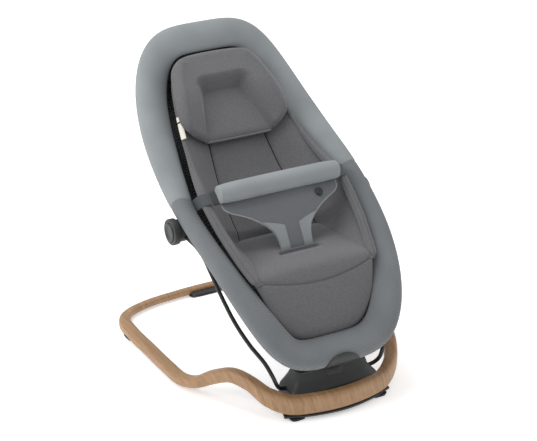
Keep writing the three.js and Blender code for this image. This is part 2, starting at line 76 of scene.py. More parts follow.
HUB = middle("hub_axle_left")
PIVOT = middle("rod_carrier")
TILT = math.radians(40.8)
COS, SIN = math.cos(TILT), math.sin(TILT)
HUB_S, HUB_N = 326 * MM, -26 * MM
SEAT_Y = HUB[1] - HUB_S * COS + HUB_N * SIN
SEAT_Z = HUB[2] - HUB_S * SIN - HUB_N * COS
SEAT_LENGTH = 728 * MM
SEAT_HALF = 186 * MM
SIDES = ((-1, "left"), (1, "right"))
UP = np.array([0.0, 0.0, 1.0])
SEAT_UP = np.array([0.0, -SIN, COS])
SEAT_ALONG = np.array([0.0, COS, SIN])
LOW_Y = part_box("front_rail")[0].y


def on_seat(x, s, n):
    """Turns seat directions into the frame's: x stays, s climbs at the seat's tilt, n is square to both."""
    x, s, n = np.broadcast_arrays(x, s, n)
    return np.stack([x, SEAT_Y + s * COS - n * SIN, SEAT_Z + s * SIN + n * COS], -1)


# ---------- number helpers ----------
def blend_in(value, low, high):
    """0 below low, 1 above high, and the smooth step 3t^2 - 2t^3 between them."""
    t = np.clip((value - low) / (high - low), 0, 1)
    return t * t * (3 - 2 * t)


def signed_power(value, power):
    return np.sign(value) * np.abs(value) ** power


def curve_through(points, count, closed=False):
    """Evenly spaced points on a Catmull-Rom curve whose knots are the square roots of the chords' lengths."""
    p = np.array(points, float)
    if closed:
        p = np.vstack([p[-1:], p, p[:2]])
    else:
        p = np.vstack([2 * p[0] - p[1], p, 2 * p[-1] - p[-2]])
    dense = []
    t = np.linspace(0, 1, 40, endpoint=False)[:, None]
    for a, b, c, d in zip(p[:-3], p[1:-2], p[2:-1], p[3:]):
        gaps = [max(np.linalg.norm(q - r) ** 0.5, 1e-6) for q, r in ((b, a), (c, b), (d, c))]
        out_b = (b - a) / gaps[0] - (c - a) / (gaps[0] + gaps[1]) + (c - b) / gaps[1]
        in_c = (c - b) / gaps[1] - (d - b) / (gaps[1] + gaps[2]) + (d - c) / gaps[2]
        m0, m1 = out_b * gaps[1], in_c * gaps[1]
        dense.append((2 * t**3 - 3 * t**2 + 1) * b + (t**3 - 2 * t**2 + t) * m0
                     + (-2 * t**3 + 3 * t**2) * c + (t**3 - t**2) * m1)
    dense = np.vstack(dense + [p[-2:-1]])
    return evenly(dense, count, closed)


def evenly(points, count, closed=False):
    """The same line cut into equal steps."""
    run = np.concatenate([[0], np.cumsum(np.linalg.norm(np.diff(points, axis=0), axis=1))])
    at = np.linspace(0, run[-1], count, endpoint=not closed)
    return np.stack([np.interp(at, run, points[:, k]) for k in range(points.shape[1])], -1)


def smooth_line(knots):
    """A function of s through (s, value) knots in millimetres, on the same kind of curve."""
    line = curve_through(np.array(knots, float), 400)
    return lambda s: np.interp(s, line[:, 0] * MM, line[:, 1] * MM)


def superellipse(a, b, count, power):
    """Outline points with |x/a|^power + |y/b|^power = 1, spread evenly along the outline."""
    angle = np.linspace(0, 2 * np.pi, 720)
    ring = np.stack([a * signed_power(np.cos(angle), 2 / power), b * signed_power(np.sin(angle), 2 / power)], -1)
    return evenly(ring, count + 1)


# ---------- mesh helpers ----------
JOIN_DISTANCE = 2e-6


def make_piece(name, points, slot, replaced=(), body="seat", finish=None, crease=None):
    """Turns a grid of points (rows, columns, 3) into a mesh piece, ties it to its body and gives it a
    finish. Points that coincide are joined, so a row drawn together closes an end, and a grid whose first
    and last columns match closes round. Faces are turned outwards, and edges above the crease angle are
    sharp."""
    rows, columns = points.shape[:2]
    i, j = np.meshgrid(np.arange(rows - 1), np.arange(columns - 1), indexing="ij")
    a = (i * columns + j).ravel()
    faces = np.stack([a, a + 1, a + columns + 1, a + columns], -1)
    flat = points.reshape(-1, 3)
    keys = np.round(flat / JOIN_DISTANCE).astype(np.int64)
    _, first, joined = np.unique(keys, axis=0, return_index=True, return_inverse=True)
    joined = joined.reshape(-1)[faces]
    vertices = flat[first]
    corners = vertices[joined]
    volume = np.einsum("ij,ij->i", corners[:, 0], np.cross(corners[:, 1], corners[:, 2])).sum()
    volume += np.einsum("ij,ij->i", corners[:, 0], np.cross(corners[:, 2], corners[:, 3])).sum()
    if volume < 0:
        joined = joined[:, ::-1]
    loops = []
    for quad in joined.tolist():
        kept = [quad[k] for k in range(4) if quad[k] != quad[k - 1]]
        if len(kept) > 2:
            loops.append(kept)
    mesh = bpy.data.meshes.new(name)
    mesh.from_pydata(vertices.tolist(), [], loops)
    mesh.validate()
    mesh.polygons.foreach_set("use_smooth", [True] * len(mesh.polygons))
    if crease is not None:
        mesh.set_sharp_from_angle(angle=math.radians(crease))
    piece = bpy.data.objects.new(name, mesh)
    bpy.context.scene.collection.objects.link(piece)
    mesh.materials.append(material(finish or slot))
    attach(piece, body)
    if replaced:
        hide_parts(*replaced)
    return piece


def sweep(path, profile, up=UP, closed=False):
    """A profile carried along a path: each point is the path's plus a times the side direction plus b
    times the rise. The side is square to the path and to up, and the rise is square to both."""
    if closed:
        along = np.roll(path, -1, 0) - np.roll(path, 1, 0)
    else:
        along = np.gradient(path, axis=0)
    along /= np.linalg.norm(along, axis=1, keepdims=True)
    side = np.cross(along, up)
    side /= np.linalg.norm(side, axis=1, keepdims=True)
    rise = np.cross(side, along)
    profile = np.broadcast_to(profile, (len(path),) + np.shape(profile)[-2:])
    rows = path[:, None] + profile[..., :1] * side[:, None] + profile[..., 1:] * rise[:, None]
    return np.concatenate([rows, rows[:1]]) if closed else rows


def capped(rows, rounding=0.0):
    """Closes both ends of a run of outlines: a rounded lip of that radius, then a row drawn together at
    its middle."""
    parts = [rows]
    for end, inner, front in ((rows[0], rows[1], True), (rows[-1], rows[-2], False)):
        centre = end[:-1].mean(0)
        out = centre - inner[:-1].mean(0)
        out /= np.linalg.norm(out)
        lip = []
        size = np.linalg.norm(end - centre, axis=1).min()
        for angle in np.linspace(0, np.pi / 2, 6)[1:] if rounding else []:
            shrink = 1 - rounding * (1 - np.cos(angle)) / size
            lip.append(centre + (end - centre) * shrink + out * rounding * np.sin(angle))
        last = lip[-1] if lip else end
        lip.append(np.broadcast_to(last[:-1].mean(0), end.shape))
        parts = [np.array(lip[::-1])] + parts if front else parts + [np.array(lip)]
    return np.concatenate(parts)


def tube(path, radius, count=20, up=UP, closed=False):
    """A round bar or cord along a path."""
    rows = sweep(path, superellipse(radius, radius, count, 2), up, closed)
    return rows if closed else capped(rows, radius * 0.5)


def turned(profile, sign, count=64):
    """A profile of (radius, distance from the middle plane) turned about the hubs' axis, on one side."""
    angle = np.linspace(0, 2 * np.pi, count + 1)
    radius, along = np.array(profile, float).T[:, :, None]
    across = sign * np.broadcast_to(along, (len(profile), count + 1))
    ring = np.stack([across, radius * np.cos(angle), radius * np.sin(angle)], -1)
    return ring + np.array([0, HUB[1], HUB[2]])


def rounded_corner(radius, at, turn_from, turn_to, steps=6):
    """Points of a quarter round at (radius, distance), for a turned profile."""
    angle = np.radians(np.linspace(turn_from, turn_to, steps))
    return [(at[0] + radius * math.cos(a), at[1] + radius * math.sin(a)) for a in angle]


def mirror_x(points):
    return points * np.array([-1.0, 1.0, 1.0])


# ---------- materials ----------
def linear(hex_code):
    """sRGB hex to linear colour: each channel c becomes c/12.92, or ((c + 0.055) / 1.055)^2.4 above
    0.04045."""
    channels = [int(hex_code[k:k + 2], 16) / 255 for k in (1, 3, 5)]
    return [c / 12.92 if c <= 0.04045 else ((c + 0.055) / 1.055) ** 2.4 for c in channels] + [1.0]


def add_node(tree, kind, inputs=None, **settings):
    """Adds a node with its settings, and sets or links its inputs."""
    made = tree.nodes.new(kind)
    for key, value in settings.items():
        setattr(made, key, value)
    for key, value in (inputs or {}).items():
        if isinstance(value, bpy.types.NodeSocket):
            tree.links.new(value, made.inputs[key])
        else:
            made.inputs[key].default_value = value
    return made


def start_material(name, hex_code, roughness, **shader):
    """A new material with its shader set. Returns the material, its tree, the shader and the Object
    coordinates."""
    material = bpy.data.materials.new(name)
    material.use_nodes = True
    tree = material.node_tree
    principled = tree.nodes["Principled BSDF"]
    principled.inputs["Base Color"].default_value = linear(hex_code)
    principled.inputs["Roughness"].default_value = roughness
    for key, value in shader.items():
        principled.inputs[key.replace("_", " ")].default_value = value
    return material, tree, principled, add_node(tree, "ShaderNodeTexCoord").outputs["Object"]


def noise(tree, place, scale, **inputs):
    """How strong a noise is at a place, from 0 to 1."""
    inputs = {"Vector": place, "Scale": scale, **inputs}
    return add_node(tree, "ShaderNodeTexNoise", inputs).outputs["Fac"]


def mapped(tree, place, **inputs):
    """The coordinates turned or stretched."""
    return add_node(tree, "ShaderNodeMapping", {"Vector": place, **inputs}).outputs["Vector"]


def ramp_between(tree, factor, low, high, start=0.0, end=1.0):
    """A colour ramp from low at start to high at end."""
    ramp = add_node(tree, "ShaderNodeValToRGB", {"Fac": factor})
    ramp.color_ramp.elements[0].position, ramp.color_ramp.elements[1].position = start, end
    ramp.color_ramp.elements[0].color, ramp.color_ramp.elements[1].color = linear(low), linear(high)
    return ramp.outputs["Color"]


def relief(tree, principled, height, distance, strength=1.0):
    bump = add_node(tree, "ShaderNodeBump", {"Height": height, "Distance": distance, "Strength": strength})
    tree.links.new(bump.outputs["Normal"], principled.inputs["Normal"])


def multiplied(tree, first, second):
    """One colour darkened by another."""
    mixed = add_node(tree, "ShaderNodeMix", {"Factor": 1.0}, data_type="RGBA", blend_type="MULTIPLY")
    places = [place for place in mixed.inputs if place.type == "RGBA"]
    tree.links.new(first, places[0])
    tree.links.new(second, places[1])
    return next(place for place in mixed.outputs if place.type == "RGBA")


def knit(name, low, high, rib_mm=None):
    """Polyester jersey over foam. Smooth and even, with a soft sheen at the edges; the ribbed kind has
    fine raised ribs straight across the seat, drawn a little further apart than real ones, so that they
    show."""
    material, tree, principled, place = start_material(name, high, 0.85, Sheen_Weight=0.08, Sheen_Roughness=0.4)
    colour = ramp_between(tree, noise(tree, place, 9.0, Detail=3.0), low, high, 0.3, 0.7)
    if rib_mm:
        square = mapped(tree, place, Rotation=(-TILT, 0.0, 0.0))
        # A wave texture turns once in 2 pi / 20 of a unit at scale 1.
        inputs = {"Vector": square, "Scale": 2 * math.pi / (20 * rib_mm * MM), "Distortion": 0.0}
        ribs = add_node(tree, "ShaderNodeTexWave", inputs, bands_direction="Y").outputs["Fac"]
        # The rib troughs are painted darker: painted shade between the raised ribs, on top of the bump.
        colour = multiplied(tree, colour, ramp_between(tree, ribs, "#e4e4e4", "#ffffff"))
        relief(tree, principled, ribs, 0.0003, 0.5)
    else:
        relief(tree, principled, noise(tree, place, 900.0), 0.0002)
    tree.links.new(colour, principled.inputs["Base Color"])
    return material


def melange(name, low, high):
    """Melange jersey on the pads: two greys spun together, seen as a fine speckle of 1 to 3 mm."""
    material, tree, principled, place = start_material(name, high, 0.92, Sheen_Weight=0.18, Sheen_Roughness=0.5)
    speckle = noise(tree, place, 520.0, Detail=5.0, Roughness=0.7)
    tree.links.new(ramp_between(tree, speckle, low, high, 0.3, 0.7), principled.inputs["Base Color"])
    relief(tree, principled, speckle, 0.0003, 0.6)
    return material


def air_mesh():
    """Spacer mesh: black cells 4 mm wide between paler knitted threads."""
    material, tree, principled, place = start_material("spacer_mesh_black", "#161618", 0.8)
    inputs = {"Vector": place, "Scale": 250.0, "Randomness": 0.35}
    cells = add_node(tree, "ShaderNodeTexVoronoi", inputs, feature="DISTANCE_TO_EDGE").outputs["Distance"]
    colour = ramp_between(tree, cells, "#77797a", "#0c0c0d", 0.05, 0.13)
    tree.links.new(colour, principled.inputs["Base Color"])
    relief(tree, principled, cells, -0.0008)
    return material


def oak():
    """Oak veneer under satin lacquer. The grain runs from the foot end to the head end, so that it lies
    along the side rails and stands across the front rail: streaks 2 to 6 mm wide, with fine pores."""
    coat = {"Coat_Weight": 0.12, "Coat_Roughness": 0.35}
    material, tree, principled, place = start_material("oak_laminate_lacquered", "#a5876d", 0.45, **coat)
    slanted = mapped(tree, place, Rotation=(0.0, math.radians(14), 0.0))
    streaks = noise(tree, mapped(tree, slanted, Scale=(190.0, 7.0, 12.0)), 1.0, Detail=4.0, Roughness=0.55,
                    Distortion=0.3)
    pores = noise(tree, mapped(tree, slanted, Scale=(900.0, 30.0, 60.0)), 1.0, Detail=2.0)
    colour = ramp_between(tree, streaks, "#926f4d", "#ab8863", 0.3, 0.72)
    dark = ramp_between(tree, pores, "#dfd5ca", "#ffffff", 0.3, 0.5)
    tree.links.new(multiplied(tree, colour, dark), principled.inputs["Base Color"])
    relief(tree, principled, pores, 0.0001)
    return material


def grained(name, hex_code, roughness, grain=1200.0, depth=0.0001, **shader):
    """A moulded or coated surface with an even fine grain."""
    material, tree, principled, place = start_material(name, hex_code, roughness, **shader)
    relief(tree, principled, noise(tree, place, grain), depth)
    return material


MATERIALS = {}
# Each finish's slot, the function that makes it, and what it is made with.
FINISHES = {
    "light_knit": (knit, "polyester_jersey_light", "#808587", "#8f9496"),
    "ribbed_knit": (knit, "ribbed_knit_slate", "#6c7073", "#777b7d", 3.4),
    "pad_cloth": (melange, "melange_jersey_grey", "#515153", "#6e6e70"),
    "panel_cloth": (melange, "brushed_jersey_panel", "#5c5f61", "#6a6d70"),
    "air_mesh": (air_mesh,),
    "piping": (grained, "satin_piping", "#8f9293", 0.7),
    "binding": (grained, "folded_edge_tape", "#4d4d4f", 0.85),
    # Near-black thread: its darkness is painted shade, in the liner's seam grooves and along the rim cover's inner
    # hem.
    "thread": (grained, "thread_painted_seam_shade", "#1d1d1e", 0.9),
    "webbing": (grained, "polyester_webbing", "#4b4f51", 0.85, 700.0, 0.0004),
    "oak_laminate": (oak,),
    # Polypropylene from a sparked mould: dark, with a broad dull highlight.
    "dark_plastic": (grained, "moulded_polypropylene", "#2a2b2c", 0.5),
    # Powder coat: black and slightly glossy, with a fine orange peel.
    "black_steel": (grained, "powder_coated_steel", "#18191a", 0.38, 500.0),
    # Bright zinc plate, the only bare metal.
    "steel": (lambda *look: grained(*look, Metallic=1.0), "zinc_plated_steel", "#a5a8aa", 0.35),
    "rubber": (grained, "moulded_rubber", "#202021", 0.85),
    "label_cloth": (grained, "satin_label_tape", "#dcd8cb", 0.7),
}


def material(name):
    """Makes each finish once, when it is first asked for."""
    if name not in MATERIALS:
        maker, *look = FINISHES[name]
        MATERIALS[name] = maker(*look)
    return MATERIALS[name]


# ---------- shape of the seat ----------
RIM_LIFT, RIM_SIDE_POWER, RIM_END_POWER = 360 * MM, 4.32, 1.65


def rim_lift(s):
    """How far the rim stands over the seat's plane: up over the thighs, down behind the shoulders."""
    u = s / SEAT_LENGTH
    return RIM_LIFT * u * (1 - u) * (1 - 2 * u)


def rim_line(count):
    """The rim's closed line in seat directions: |x / half|^4.32 + |2u - 1|^1.65 = 1, u the share of the
    length."""
    angle = np.linspace(0, 2 * np.pi, 3000)
    x = signed_power(np.sin(angle), 2 / RIM_SIDE_POWER) * SEAT_HALF
    s = (1 - signed_power(np.cos(angle), 2 / RIM_END_POWER)) / 2 * SEAT_LENGTH
    return evenly(np.stack([x, s, rim_lift(s)], -1), count, closed=True)


# How high the pads' floor lies over the seat's plane: over the flap's end, up over the roll, down in the seat.
pad_line = smooth_line([(40, 2), (100, 38), (150, 56), (166, 55), (216, 20), (273, -26), (340, -45), (420, -49),
                        (505, -37), (610, -36), (690, -40)])
SEAM_S = 0.51 * SEAT_LENGTH
# How far the rim's cover reaches into the seat: least beside the hips.
cover_reach = smooth_line([(-40, 42), (60, 42), (110, 37), (160, 32), (220, 26), (300, 22), (340, 22), (380, 27),
                           (420, 33), (460, 38), (500, 42), (560, 44.5), (620, 44), (780, 42.5)])
COVER_NOSE = 20 * MM
COVER_EDGE_DROP, COVER_FALL = 4.5 * MM, 10.5 * MM
DRUM_ROOM = 22.5 * MM


def cover_profile(s, swell, count=73):
    """The cover's section at s: a = middle + reach cos t, b = (high - fall q^2) sin^0.8 t - drop q, where
    q = (1 - cos t) / 2 grows from the nose to the inner edge."""
    t = np.linspace(0, 2 * np.pi, count)
    q = (1 - np.cos(t)) / 2
    inward = cover_reach(s)[:, None]
    nose = COVER_NOSE + swell
    a = (nose - inward) / 2 + (nose + inward) / 2 * np.cos(t)
    b = signed_power(np.sin(t), 0.8) * (nose - COVER_FALL * q**2) - COVER_EDGE_DROP * q
    return np.stack([a, np.broadcast_to(b, a.shape)], -1)


def scooped(rows):
    """Lifts the cover's underside over the two drums on which the seat tilts."""
    x, s, n = np.moveaxis(rows, -1, 0)
    room = np.sqrt(np.clip(DRUM_ROOM**2 - (s - HUB_S) ** 2, 0, None))
    floor = np.where(room > 0, HUB_N + room, -1.0)
    share = blend_in(np.abs(x), 178 * MM, 182 * MM)
    return np.stack([x, s, n + np.maximum(floor - n, 0) * share], -1)


def cover_hem(inset, drop, count=720):
    """The line along the inner edge of the rim's cover, moved outwards by inset and down by drop."""
    line = rim_line(count)
    section = np.stack([inset - cover_reach(line[:, 1]), np.full(count, -COVER_EDGE_DROP - drop)], -1)[:, None]
    return sweep(line, section, UP, closed=True)[:, 0]


def rim_cover(name, from_head, swell, cloth, node):
    """One half of the padded rim cover: the cover's section carried along the rim, drawn in a little at
    its ends."""
    line = rim_line(900)
    order = np.argsort(np.abs(line[:, 1] - SEAM_S))
    first = order[np.argmax(line[order[:8], 0] > 0)]
    line = np.roll(line, -first, 0)
    head_part = line[:, 1] >= SEAM_S
    if head_part[5]:
        cut = np.argmin(head_part[1:]) + 1
    else:
        cut = np.argmax(head_part[1:]) + 1
    part = line[:cut + 1] if head_part[5] == from_head else np.vstack([line[cut:], line[:1]])
    run = np.linalg.norm(np.diff(part, axis=0, prepend=part[:1]), axis=1).cumsum()
    from_end = np.minimum(run, run[-1] - run)
    tuck = 1 - 0.045 * np.exp(-from_end / (3 * MM))
    ripple = 1 + 0.003 * np.sin(run * 41) * np.sin(run * 17 + 1)
    profiles = cover_profile(part[:, 1], swell) * (tuck * ripple)[:, None, None]
    rows = scooped(capped(sweep(part, profiles, UP), 1.5 * MM))
    make_piece(name, on_seat(*np.moveaxis(rows, -1, 0)), cloth, [node])


def slab(name, s0, s1, half, top, under, slot, replaced, rows, columns, round_mm, finish=None):
    """A pad over a stretch of the seat. Its two faces are heights over (x, s), and both run out to their
    mean along the edge, as a quarter circle over the rounding width, so the edge is round."""
    tb, ta = np.linspace(-np.pi / 2, np.pi / 2, rows), np.linspace(-np.pi / 2, np.pi / 2, columns)
    b, a = np.meshgrid(np.sin(tb) * 0.5 + 0.5, np.sin(ta), indexing="ij")
    s = s0 + (s1 - s0) * b
    w = half(s)
    x = a * w
    size = round_mm * MM
    near_side = np.clip((1 - np.abs(a)) * w / size, 0, 1)
    near_end = np.clip(np.minimum(s - s0, s1 - s) / size, 0, 1)
    lift = np.sqrt(1 - (1 - near_side) ** 2) * np.sqrt(1 - (1 - near_end) ** 2)
    high, low = top(x, s), under(x, s)
    mean = (high + low) / 2
    upper = on_seat(x, s, mean + (high - mean) * lift)
    lower = on_seat(x, s, mean + (low - mean) * lift)
    points = np.concatenate([upper, lower[:, ::-1], upper[:, :1]], 1)
    make_piece(name, np.concatenate([points[:1], points]), slot, replaced, finish=finish)


def groove(distance, depth_mm, width_mm):
    """How far a sewn line pulls the cloth in at a distance from it: a bell curve."""
    return depth_mm * MM * np.exp(-((distance / (width_mm * MM)) ** 2))


# Half the liner's width, and how high its edge stands: up beside the hips, down behind the shoulders.
liner_half = smooth_line([(140, 126), (160, 133), (200, 142), (240, 148.5), (280, 153), (320, 155), (345, 155),
                          (380, 148.5), (420, 140.5), (460, 132.5), (500, 126), (540, 119), (580, 111),
                          (620, 100), (650, 86), (680, 66)])
liner_edge = smooth_line([(140, 52), (160, 51), (200, 45.5), (240, 41.5), (280, 36), (320, 31), (340, 28),
                          (360, 22.5), (380, 15.5), (400, 8.5), (420, 2.5), (440, -2), (480, -9), (520, -11.5),
                          (600, -15), (680, -22)])


def liner_floor(s):
    return pad_line(s) - 20 * MM * (1 - blend_in(s, 262 * MM, 300 * MM))


def liner_bucket(x, s):
    """A shallow bucket: |x / half|^3.4 lifts the sides from the floor line to the edge."""
    floor = liner_floor(s)
    return floor + (liner_edge(s) - floor) * np.clip(np.abs(x) / liner_half(s), 0, 1) ** 3.4


def liner_top(x, s):
    """The bucket, divided by two lengthwise seams in three panels, each a little crowned."""
    half, seam = liner_half(s), liner_seam(s)
    crown = 4.5 * MM * np.cos(np.clip(x / seam, -1, 1) * np.pi / 2) ** 0.7
    side_crown = 4 * MM * np.sin(np.clip((np.abs(x) - seam) / (half - seam), 0, 1) * np.pi) ** 0.8
    panels = np.where(np.abs(x) < seam, crown, side_crown)
    return liner_bucket(x, s) + panels - groove(np.abs(np.abs(x) - seam), 3.4, 2.4)


def liner_seam(s):
    """Half the middle panel's width: narrower towards the head."""
    return np.interp(s, [140 * MM, 420 * MM, 502 * MM, 680 * MM], [100 * MM, 71 * MM, 62 * MM, 40 * MM])


def seat_half(s):
    """Half the seat pad's width: full between the wings, tapering down the flap, with rounded lower
    corners."""
    line = np.interp(s, np.array([38, 60, 100, 150, 170, 200, 240, 282]) * MM,
                     np.array([90, 98, 112, 127, 130, 135, 140, 144]) * MM)
    corner = 50 * MM
    near = np.clip((s - 42 * MM) / corner, 0, 1)
    return line - corner * (1 - np.sqrt(1 - (1 - near) ** 2))


def roll_seam(x):
    """Where the front roll meets the flap: lowest in the middle, rising to the sides."""
    return (132 + 24 * (np.abs(x) / (128 * MM)) ** 2) * MM


def seat_top(x, s):
    """The seat pad's face: the level seat, the front roll and the flap, with a seam under the roll and a
    slot for the strap between the legs."""
    edge = np.clip(np.abs(x) / seat_half(s), 0, 1)
    height = pad_line(s) - 9 * MM * edge**4 + 2.5 * MM * (1 - edge**2)
    height += 2.5 * MM * np.exp(-(((s - 160 * MM) / (22 * MM)) ** 2))
    height -= groove(s - roll_seam(x), 4.2, 3.2)
    reach = np.abs(x) / (46 * MM)
    slot = np.exp(-(((s - 212 * MM) / (5 * MM)) ** 2)) * (1 - blend_in(reach, 0.85, 1.1))
    return height - 9 * MM * slot


pillow_half = smooth_line([(490, 70), (497, 84), (506, 99), (517, 111), (532, 118), (557, 118), (590, 112.5),
                           (615, 106), (640, 99), (656, 91), (668, 79), (676, 63), (681, 40), (683, 12)])
HOLLOW_TOP, HOLLOW_TOP_HALF, HOLLOW_LOW_HALF = 598 * MM, 39 * MM, 73 * MM


def hollow_half(s):
    """Half the head hollow's width: a trapezium that widens to the pillow's lower edge."""
    return np.interp(s, [490 * MM, HOLLOW_TOP], [HOLLOW_LOW_HALF, HOLLOW_TOP_HALF])


def pillow_top(x, s):
    """The pillow's face: a shallow hollow, and round it a wall that climbs to the roll, which rounds off
    to the edge. The wall is 28 mm wide over the hollow and 8 mm wide and low beside its lower end."""
    beside = np.maximum(np.abs(x) - hollow_half(s), 0)
    above = np.maximum(s - HOLLOW_TOP, 0)
    out = np.hypot(beside, above)
    wall = blend_in(out, -2 * MM, (8 + 20 * blend_in(s, 490 * MM, 610 * MM)) * MM)
    t = np.clip(np.abs(x) / pillow_half(s), 0, 1)
    hollow = 11 * MM + 2.5 * MM * np.cos(np.clip(x / HOLLOW_LOW_HALF, -1, 1) * np.pi / 2)
    roll = (42 - 9 * t**3) * MM
    lower = blend_in(s, 480 * MM, 600 * MM)
    height = hollow + (roll - hollow) * wall * (0.3 + 0.7 * lower)
    return pillow_under(x, s) + height - groove(out - 2.0 * MM, 1.6, 2.2) * (out > 0)


def pillow_under(x, s):
    """The pillow lies on the liner, and spans it flat past the liner's sides."""
    low = np.minimum(s, 655 * MM)
    return liner_bucket(np.clip(x, -0.88 * liner_half(low), 0.88 * liner_half(low)), low) + 5 * MM


# ---------- settings ----------
class BouncerSizes(bpy.types.PropertyGroup):
    rod_radius: FloatProperty(name="Rod radius", description="Radius of the spring rod", default=4 * MM,
                              unit="LENGTH")
    strap_width: FloatProperty(name="Strap width", description="Width of the side straps", default=25 * MM,
                               unit="LENGTH")
    rim_swell: FloatProperty(name="Rim swell", description="How far the light cover stands over the dark one",
                             default=0.8 * MM, unit="LENGTH")
    floor_colour: FloatVectorProperty(name="Floor", description="Colour of the floor", default=(0.9, 0.9, 0.9),
                                      subtype="COLOR", size=3)


def sizes():
    return bpy.context.scene.bouncer_sizes


# ---------- the wooden loop ----------
RAIL_KNOTS = [
    (0, -291, 30), (60, -284, 30), (104, -269, 31), (136, -245, 44), (156, -213, 62), (174, -173, 66),
    (193, -133, 48), (213, -99, 26), (224.5, -62, 16), (226.5, 0, 13.5), (226.5, 90, 13.5),
    (226.5, 160, 13.5), (219, 216, 12.5), (194, 250, 10.5), (144, 270, 10.5), (70, 280, 10), (0, 283, 10),
]
RAIL_JOINT = 10  # the knot where the front and rear rails meet
RAIL_GAP = 0.45 * MM
CENTRING = LOW_Y + (291 + 13) * MM


def rail_half_sizes(path):
    """Half width and half height: tall across the front, lower over the humps, flat at the sides, slim at
    the back."""
    y, z = (path[:, 1] - CENTRING) / MM, path[:, 2] / MM
    front, hump, rear = blend_in(-y, 215, 262), blend_in(z, 16, 50), blend_in(y, 190, 272)
    sizes_at = []
    for side, back, over, ahead in ((13.5, 9, 13.5, 13), (10.5, 7, 13, 19)):
        low = side + (back - side) * rear
        mid = low + (over - low) * hump
        sizes_at.append((mid + (ahead - mid) * front) * MM)
    return sizes_at


def rail_points(front):
    """The front or the rear rail, from joint to joint."""
    knots = np.array(RAIL_KNOTS) * MM + np.array([0, CENTRING, 0])
    half = knots[:RAIL_JOINT + 1] if front else knots[RAIL_JOINT:]
    if front:
        whole = np.vstack([mirror_x(half[:0:-1]), half])
    else:
        whole = np.vstack([half, mirror_x(half[-2::-1])])
    path = curve_through(whole, 420)
    path[[0, -1], 1] += -RAIL_GAP if front else RAIL_GAP
    wide, high = rail_half_sizes(path)
    unit = superellipse(1, 1, 48, 3.4)
    profiles = unit[None] * np.stack([wide, high], -1)[:, None]
    return capped(sweep(path, profiles), 0.8 * MM)


class BOUNCER_OT_wooden_loop(bpy.types.Operator):
    """Builds the two bent rails of the floor loop"""
    bl_idname = "bouncer.wooden_loop"
    bl_label = "Wooden loop"

    def execute(self, context):
        for name, front in (("front_rail_wood", True), ("rear_rail_wood", False)):
            node = "front_rail" if front else "rear_rail"
            make_piece(name, rail_points(front), "oak_laminate", [node], "base", crease=60)
        return {"FINISHED"}


def tower_points(levels, count=80, power=6.0, steps=60, lip=2.0):
    """A body with a level rounded outline at each height, its sizes joined by smooth lines, and a rounded
    top."""
    levels = np.array(levels, float) * MM
    z = np.linspace(levels[0, 0], levels[-1, 0], steps)
    y0, y1, half = (smooth_between(z, levels[:, 0], levels[:, k]) for k in (1, 2, 3))
    unit = superellipse(1, 1, count, power)
    rows = np.stack([
        unit[None, :, 0] * half[:, None],
        unit[None, :, 1] * ((y1 - y0) / 2)[:, None] + ((y0 + y1) / 2)[:, None],
        np.broadcast_to(z[:, None], (steps, count + 1)),
    ], -1)
    rows[..., 1] += CENTRING
    return capped(rows, lip * MM)


def smooth_between(at, knots, values):
    """Linear between knots, softened by averaging over 3 mm either side."""
    spread = np.linspace(-3 * MM, 3 * MM, 13)
    return np.mean([np.interp(at + d, knots, values) for d in spread], axis=0)


class BOUNCER_OT_pedestal(bpy.types.Operator):
    """Builds the pedestal at the front, its latch plate, the sole and the feet"""
    bl_idname = "bouncer.pedestal"
    bl_label = "Pedestal and feet"

    def execute(self, context):
        shell = tower_points([(11.3, -276, -200, 98), (46, -276, -200, 95), (55, -267, -203, 86),
                              (63, -261, -206, 80), (79.5, -253.5, -215, 75.5)])
        make_piece("pedestal_cover", shell, "dark_plastic", ["pedestal_shell"], "base", crease=50)
        make_piece("latch_plate", latch_points(), "dark_plastic", ["fold_latch"], "latch", crease=50)
        knots = np.array([(-113, -264, 8), (-60, -282, 8), (0, -290, 8), (60, -282, 8), (113, -264, 8)]) * MM
        sole = curve_through(knots + [0, CENTRING, 0], 90)
        rows = capped(sweep(sole, superellipse(11.5 * MM, 2.6 * MM, 32, 5)), 1 * MM)
        make_piece("front_sole_strip", rows, "dark_plastic", ["front_sole"], "base", crease=50)
        for node, narrow in (("front_foot", 2), ("rear_foot", 1.5)):
            for _, side in SIDES:
                make_piece(f"{node}_pad_{side}", foot_points(f"{node}_{side}", narrow), "rubber",
                           [f"{node}_{side}"], "base", crease=50)
        return {"FINISHED"}


def foot_points(node, narrow_mm):
    """A low block with a rounded outline that narrows to the floor, filling its frame node's box."""
    low, high = (np.array(corner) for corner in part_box(node))
    centre, half = (low + high) / 2, (high - low) / 2
    unit = superellipse(1, 1, 60, 4)
    rows = []
    for t in np.linspace(0, 1, 8):
        flat = centre[:2] + unit * (half[:2] - narrow_mm * MM * (1 - t))
        rows.append(np.column_stack([flat, np.full(len(flat), low[2] + t * (high[2] - low[2]))]))
    return capped(np.array(rows))


def latch_points():
    """A tapering tile with rounded corners, square to the sloping front of the pedestal's neck."""
    centre = middle("fold_latch")
    lean = math.radians(23)
    outline = superellipse(1, 1, 64, 6)
    across = outline[:, 0] * (18.3 + 2.5 * outline[:, 1]) * MM
    up = outline[:, 1] * 8.8 * MM
    rows = []
    for depth, grow in ((-2.2, 1), (1.6, 1), (2.4, 0.98), (2.8, 0.93)):
        x, v = across * grow, up * grow
        out = depth * MM
        rows.append(np.stack([x, centre[1] + v * math.sin(lean) - out * math.cos(lean),
                              centre[2] + v * math.cos(lean) + out * math.sin(lean)], -1))
    return capped(np.array(rows))


